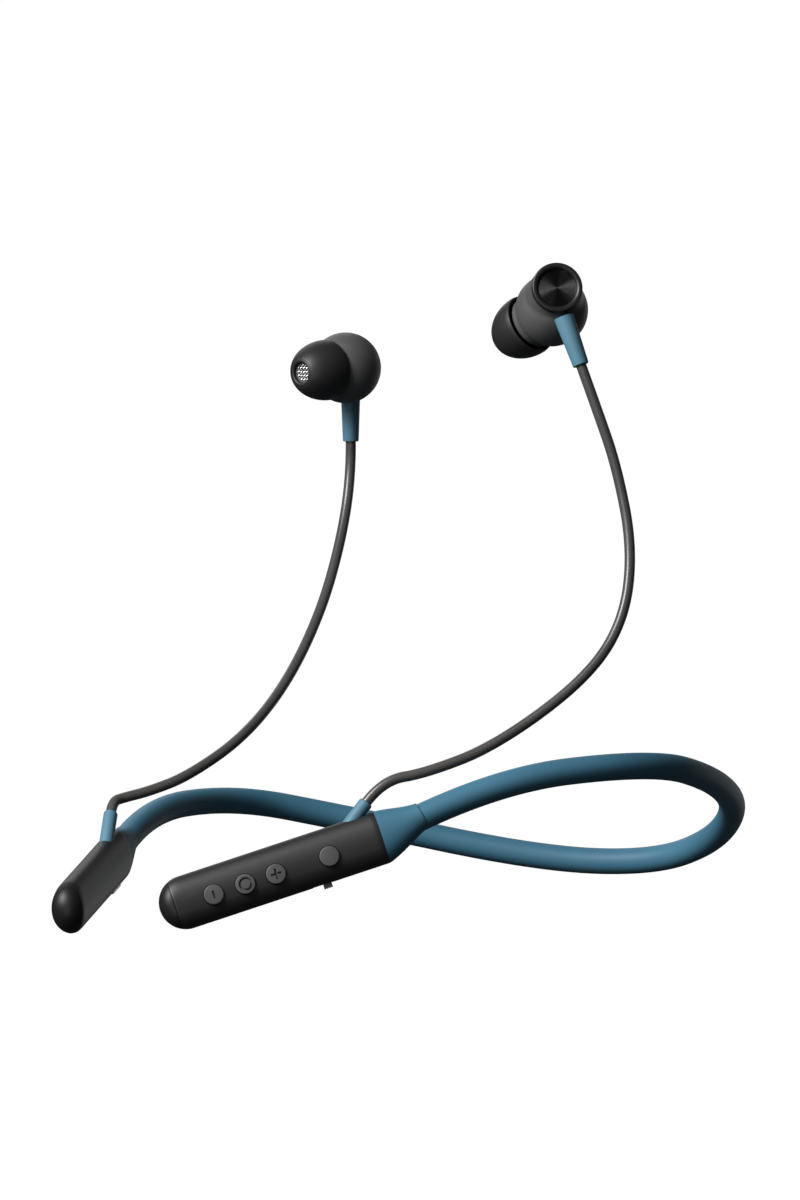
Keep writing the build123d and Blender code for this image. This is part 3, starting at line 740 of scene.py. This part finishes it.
for side, bud in BUDS.items():
    ball = Vector(bud["ball"])
    nozzle = Vector(bud["nozzle"]).normalized()
    cap_axis = Vector(bud["cap_axis"]).normalized()
    ring_base = Vector(bud["cap"]) - cap_axis * RING_WIDTH
    height = ring_base.dot(cap_axis)
    slant = (ring_base - cap_axis * height) / height
    bpy.ops.object.select_all(action="DESELECT")
    bpy.ops.mesh.primitive_uv_sphere_add(segments=BALL_SEGMENTS, ring_count=BALL_SEGMENTS // 2, radius=BALL_R)
    shell = bpy.context.object
    shell.name = f"{side}_rear_shell"
    shell.data.transform(standing((0, 0, 0), nozzle).to_3x3().to_4x4() @ Matrix.Scale(1 / MM, 4))
    for vertex in shell.data.vertices:
        ray = vertex.co.normalized()
        rise = ray.dot(cap_axis)
        reach = BALL_R
        if rise > 0:
            spread = (ray - cap_axis * rise - slant * rise).length
            neck = NECK_R / (spread + (NECK_R - RING_R) * rise / height)
            share = min(max(0.5 + 0.5 * (neck - BALL_R) / NECK_SOFTNESS, 0), 1)
            reach = BALL_R + (neck - BALL_R) * share + NECK_SOFTNESS * share * (1 - share)
        vertex.co = ray * reach
    take(shell)
    bpy.ops.object.mode_set(mode="EDIT")
    for point, normal in (((0, 0, 0), nozzle), (ring_base, cap_axis)):
        bpy.ops.mesh.select_all(action="SELECT")
        bpy.ops.mesh.bisect(plane_co=point, plane_no=normal, clear_outer=True, use_fill=True)
    close_up(weld=True)
    shell.data.transform(Matrix.Scale(MM, 4) @ Matrix.Translation(ball))
    finish_piece(shell, bud_plastic, f"{side}_arm", (f"{side}_rear_housing",), angle=40)

# Front housings and nozzles: the ball's front with a flat nose and a short plain tube, turned in
# one piece.
NOSE_R = 5.15
NOSE_ROOT_R = 5.0
NOSE_FOOT = 4.95
NOSE_END = 6.1
NOSE_EDGE = 0.3
FILLET = 0.8
FILLET_R = 3.1
NOZZLE_R = 2.3
NOZZLE_BORE = 1.7
NOZZLE_END = 12.2
NOZZLE_EDGE = 0.2
NOZZLE_DEPTH = 3
TURN_STEPS = 128
for side, bud in BUDS.items():
    edge_turn = math.degrees(math.asin(NOSE_ROOT_R / BALL_R))
    outline = [(0, 0), (BALL_R, 0)] + arc(0, 0, BALL_R, 2, edge_turn - 3, 24)
    outline += [(NOSE_R, NOSE_FOOT), (NOSE_R, NOSE_END - NOSE_EDGE)]
    outline += arc(NOSE_R - NOSE_EDGE, NOSE_END - NOSE_EDGE, NOSE_EDGE, 0, 90, 5)
    outline += [(FILLET_R, NOSE_END)] + arc(FILLET_R, NOSE_END + FILLET, FILLET, 270, 180, 6)
    outline += [(NOZZLE_R, NOSE_END + 1), (NOZZLE_R, NOZZLE_END - 0.3)]
    outline += arc(NOZZLE_R - NOZZLE_EDGE, NOZZLE_END - NOZZLE_EDGE, NOZZLE_EDGE, 0, 90, 4)
    outline += [(NOZZLE_BORE, NOZZLE_END), (NOZZLE_BORE, NOZZLE_END - NOZZLE_DEPTH)]
    outline += [(0, NOZZLE_END - NOZZLE_DEPTH)]
    front = turned(f"{side}_front_shell", outline, standing(bud["ball"], bud["nozzle"]), TURN_STEPS)
    finish_piece(front, bud_plastic, f"{side}_arm", (f"{side}_front_housing",), angle=30)

# Nozzle meshes: plain-woven steel wire cloth that keeps wax out, welded across the nozzle.
MESH_PITCH = 0.56
WIRE_R = 0.095
WIRE_CORNERS = 6
WIRE_SWAY = 1.05
STEPS_PER_PITCH = 6
CLOTH_LAP = 0.02
CLOTH_SINK = 0.12
CLOTH_TURN = (0.6, 0.5, 0.6)
mesh_metal = moulded("mesh_metal", (0.62, 0.62, 0.62), (0.85, 0.85, 0.84), (0.3, 0.45), 0.05, 0.001,
                     patch=900, Metallic=0.75)
for side, bud in BUDS.items():
    points = []
    faces = []
    reach = NOZZLE_BORE + CLOTH_LAP
    count = int(reach / MESH_PITCH)
    for row in range(-count, count + 1):
        for crossed in (False, True):
            offset = row * MESH_PITCH
            half = math.sqrt(reach ** 2 - offset ** 2)
            steps = int(half * 2 / MESH_PITCH * STEPS_PER_PITCH)
            first = len(points)
            for step in range(steps + 1):
                s = -half + 2 * half * step / steps
                sway = math.cos(math.pi * (s / MESH_PITCH + row + crossed)) * WIRE_R * WIRE_SWAY
                for corner in range(WIRE_CORNERS):
                    turn = 2 * math.pi * corner / WIRE_CORNERS
                    side_step = offset + WIRE_R * math.cos(turn)
                    level = sway + WIRE_R * math.sin(turn)
                    points.append((side_step, s, level) if crossed else (s, side_step, level))
            for step in range(steps):
                for corner in range(WIRE_CORNERS):
                    low = first + step * WIRE_CORNERS
                    top = low + WIRE_CORNERS
                    following = (corner + 1) % WIRE_CORNERS
                    faces.append((low + corner, low + following, top + following, top + corner))
            faces.append(tuple(range(first, first + WIRE_CORNERS)))
            faces.append(tuple(range(len(points) - WIRE_CORNERS, len(points))))
    cloth = bpy.data.meshes.new(f"{side}_wire_cloth")
    cloth.from_pydata(points, [], faces)
    nozzle = Vector(bud["nozzle"]).normalized()
    cloth_place = Vector(bud["ball"]) + nozzle * (NOZZLE_END - CLOTH_SINK)
    cloth.transform(standing(cloth_place, nozzle, CLOTH_TURN))
    wires = add_object(f"{side}_wire_cloth", cloth)
    take(wires)
    bpy.ops.object.mode_set(mode="EDIT")
    close_up(weld=False)
    finish_piece(wires, mesh_metal, f"{side}_arm", (f"{side}_nozzle_mesh",), angle=50)

# Cap rings: machined rims round the buds' rear caps, rounded outside and chamfered at the inner edge.
DISC_R = 3.9
DISC_SINK = 0.7
RIM_FOOT = 0.12
RIM_ROUND = 0.3
RIM_CHAMFER = ((0.35, -0.04), (0.22, -0.12), (0, -0.34))
ring_metal = moulded("ring_metal", (0.045, 0.045, 0.047), (0.060, 0.060, 0.062), (0.38, 0.48),
                     0.08, 0.001, patch=120, speckle=0.2, Metallic=0.85)
for side, bud in BUDS.items():
    cap_face = Vector(bud["ball"]) + Vector(bud["cap"])
    outline = [(DISC_R, -RING_WIDTH), (RING_R - RIM_FOOT, -RING_WIDTH),
               (RING_R, -RING_WIDTH + RIM_FOOT), (RING_R, -0.45)]
    outline += arc(RING_R - RIM_ROUND, -RIM_ROUND, RIM_ROUND, 0, 90, 6)
    outline += [(DISC_R + out, level) for out, level in RIM_CHAMFER]
    outline.append((DISC_R, -RING_WIDTH))
    rim = turned(f"{side}_cap_rim", outline, standing(cap_face, bud["cap_axis"]), TURN_STEPS)
    finish_piece(rim, ring_metal, f"{side}_arm", (f"{side}_cap_ring",), angle=25)

# Cap discs: dark anodised aluminium, spun so that fine turned grooves catch the light in a bow.
GROOVE_PITCH = 0.12
GROOVE_DEPTH = 0.019
GROOVE_START = 0.06
GROOVE_MARGIN = 0.08
GROOVE_LIFT = 0.01
CENTRE_LIFT = 0.03
DISC_GAP = 0.01
disc_metal = moulded("disc_metal", (0.046, 0.046, 0.048), (0.060, 0.060, 0.062), (0.22, 0.3),
                     0.05, 0.0005, patch=120, speckle=0.2, Metallic=1.0)
for side, bud in BUDS.items():
    cap_face = Vector(bud["ball"]) + Vector(bud["cap"])
    crest = -DISC_SINK + GROOVE_LIFT
    outline = [(0, -DISC_SINK + CENTRE_LIFT)]
    groove = GROOVE_START
    while groove < DISC_R - GROOVE_MARGIN:
        outline += [(groove, crest - GROOVE_DEPTH), (groove + GROOVE_PITCH / 2, crest)]
        groove += GROOVE_PITCH
    outline += [(DISC_R - DISC_GAP, -DISC_SINK), (DISC_R - DISC_GAP, -RING_WIDTH), (0, -RING_WIDTH)]
    disc = turned(f"{side}_spun_disc", outline, standing(cap_face, bud["cap_axis"]), TURN_STEPS)
    finish_piece(disc, disc_metal, f"{side}_arm", (f"{side}_cap_disc",), angle=15)

# Bud reliefs: tapered silicone sleeves where the cable enters the ball.
BUD_RELIEF_ROOT = 2.0
BUD_RELIEF_END = 1.62
BUD_RELIEF_LENGTH = 10.2
BUD_RELIEF_EDGE = 0.25
for side, (route, _) in CABLES.items():
    end = Vector(route[-1])
    aim_in = end - Vector(route[-2])
    outline = [(0, MOUTH_DEPTH), (CABLE_DIA / 2, MOUTH_DEPTH), (CABLE_DIA / 2 + MOUTH_GAP, 0)]
    outline += arc(BUD_RELIEF_END - BUD_RELIEF_EDGE, BUD_RELIEF_EDGE, BUD_RELIEF_EDGE, -80, 0, 6)
    outline += [(BUD_RELIEF_ROOT, BUD_RELIEF_LENGTH), (0, BUD_RELIEF_LENGTH)]
    relief = turned(f"{side}_ball_relief", outline, standing(end, aim_in), RELIEF_STEPS)
    finish_piece(relief, relief_silicone, f"{side}_arm", (f"{side}_bud_relief",))

# Ear tips: soft black silicone domes with a thin skirt, pushed on the nozzles. The left one sits a
# little further out than the right one.
TIP_R = 6.15
TIP_RIM = 4.9
TIP_WIDEST = 5.65
TIP_REACH = 8.25
TIP_END = 12.95
TIP_LIP = 0.36
TIP_BORE = 2.36
TIP_MOUTH = 2.1
TIP_SKIRT = 0.42
TIP_SHIFT = {"left": 1.2, "right": 0.0}
TIP_TUCK = 0.08
TIP_SWEEP = 60.5
TIP_STEPS = 32
STEP_TOP = 0.35
STEP_FOOT = 0.25
BALL_GAP = 0.35
HOLLOW_R = 3.0
HOLLOW_REACH = 5.6
HOLLOW_STEPS = 14
HOLLOW_FULLNESS = 0.7
tip_silicone = moulded("tip_silicone", (0.014, 0.014, 0.015), (0.020, 0.020, 0.021), (0.42, 0.54),
                       0.14, 0.003, patch=110, speckle=0.3, Specular_IOR_Level=0.5)
for side, bud in BUDS.items():
    shift = TIP_SHIFT[side]
    widest = TIP_WIDEST + shift
    mouth = TIP_END + shift
    rim_r = TIP_SKIRT / 2
    outline = arc(TIP_R - TIP_TUCK - rim_r, TIP_RIM + shift + rim_r, rim_r, -180, 0, 8)
    for step in range(TIP_STEPS + 1):
        t = math.radians(TIP_SWEEP * step / TIP_STEPS)
        outline.append((TIP_R * math.cos(t), widest + TIP_REACH * math.sin(t)))
    outline += arc(TIP_MOUTH + TIP_LIP, mouth - TIP_LIP, TIP_LIP, 50, 180, 12)
    outline += [(TIP_MOUTH, NOZZLE_END + STEP_TOP), (TIP_BORE, NOZZLE_END + STEP_FOOT),
                (TIP_BORE, BALL_R + BALL_GAP), (HOLLOW_R, BALL_R + BALL_GAP),
                (HOLLOW_R, widest + HOLLOW_REACH)]
    hollow_span = TIP_R - TIP_SKIRT - (HOLLOW_R + TIP_TUCK)
    for step in range(1, HOLLOW_STEPS + 1):
        t = math.radians(90 - 90 * step / HOLLOW_STEPS)
        outline.append((HOLLOW_R + hollow_span * math.cos(t) ** HOLLOW_FULLNESS,
                        widest + HOLLOW_REACH * math.sin(t)))
    outline.append(outline[0])
    tip = turned(f"{side}_silicone_tip", outline, standing(bud["ball"], bud["nozzle"]), TURN_STEPS)
    finish_piece(tip, tip_silicone, f"{side}_ear_tip", (f"{side}_ear_tip",), angle=40)
